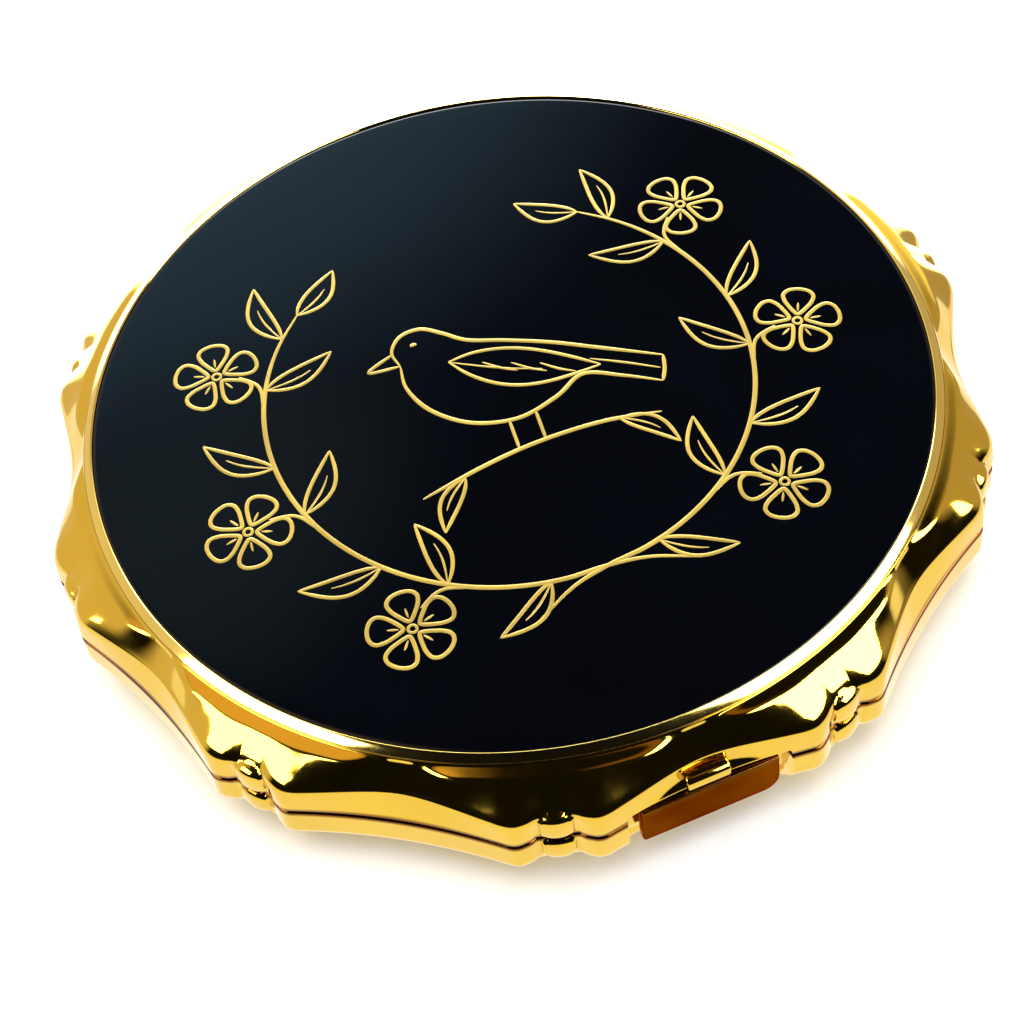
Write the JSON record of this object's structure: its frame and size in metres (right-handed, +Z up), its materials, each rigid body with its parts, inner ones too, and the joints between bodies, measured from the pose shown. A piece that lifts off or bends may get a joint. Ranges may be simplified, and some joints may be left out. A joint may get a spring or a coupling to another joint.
{
  "type": "powder compact",
  "caption": "Round hinged compact with a scalloped metal rim, an engraved enamelled lid disc, a push catch, an inner mirror and a spring-lifted inner lid over a powder well.",
  "frame": {"origin": "centre of the flat underside that the compact rests on", "axes": "+Z up through the lid, -Y towards the catch, +Y towards the hinge, the hinge pin along X"},
  "size_m": [0.082, 0.0822, 0.0142],
  "materials": {
    "gilt_case": "polished gilt brass",
    "gilt_lid": "polished gilt brass",
    "gilt_bezel": "polished gilt brass",
    "gilt_inside": "satin gilt brass",
    "gilt_inner_lid": "brushed gilt brass",
    "gilt_ring": "satin gilt brass",
    "gilt_hinge": "polished gilt brass",
    "gilt_catch": "polished gilt brass, toned",
    "gilt_lip": "polished gilt brass",
    "black_enamel": "glossy black enamel, engraved gold lines",
    "mirror": "silvered glass",
    "card": "pressed card",
    "gauze": "fine woven gauze",
    "velour": "soft velour",
    "satin": "satin",
    "ribbon": "satin ribbon",
    "pin_metal": "drawn wire",
    "spring_metal": "spring strip"
  },
  "bodies": {
    "case": {"case_shell": "gilt_case", "deck_plate": "gilt_inside", "powder_well": "gilt_inside", "sifter_ring": "gilt_ring", "sifter_mesh": "gauze", "puff_pad": "velour", "puff_backing": "satin", "puff_ribbon": "ribbon", "case_hinge_knuckles": "gilt_hinge", "hinge_pin": "pin_metal", "inner_hinge_bracket": "gilt_hinge", "inner_hinge_pin": "pin_metal", "inner_lift_spring": "spring_metal", "bracket_rivets": "gilt_hinge", "catch_spring": "spring_metal", "catch_spring_rivets": "gilt_hinge", "well_clip": "spring_metal"},
    "catch": {"catch_plate": "gilt_catch", "catch_latch": "spring_metal"},
    "lid": {"lid_shell": "gilt_lid", "bezel_ring": "gilt_bezel", "enamel_plate": "black_enamel", "thumb_lip": "gilt_lip", "lid_hook": "spring_metal", "mirror_backing": "card", "mirror_glass": "mirror", "mirror_ring": "gilt_ring", "lid_hinge_knuckles": "gilt_hinge"},
    "inner_lid": {"inner_lid": "gilt_inner_lid", "inner_lid_knuckles": "gilt_hinge", "inner_lid_tab": "gilt_inner_lid"}
  },
  "joints": [
    {"name": "lid_hinge", "type": "hinge", "parent": "case", "child": "lid", "pos_m": [0, 0.041, 0.00705], "axis": [-1, 0, 0], "range_deg": [0, 118]},
    {"name": "inner_lid_hinge", "type": "hinge", "parent": "case", "child": "inner_lid", "pos_m": [0, 0.033, 0.00735], "axis": [-1, 0, 0], "range_deg": [0, 72]},
    {"name": "catch_press", "type": "slide", "parent": "case", "child": "catch", "axis": [0, 1, 0], "range_m": [0, 0.00045], "stiffness_N_per_m": 250}
  ],
  "couplings": [
    {"joint": "inner_lid_hinge", "follows": "lid_hinge", "ratio": 0.6}
  ]
}
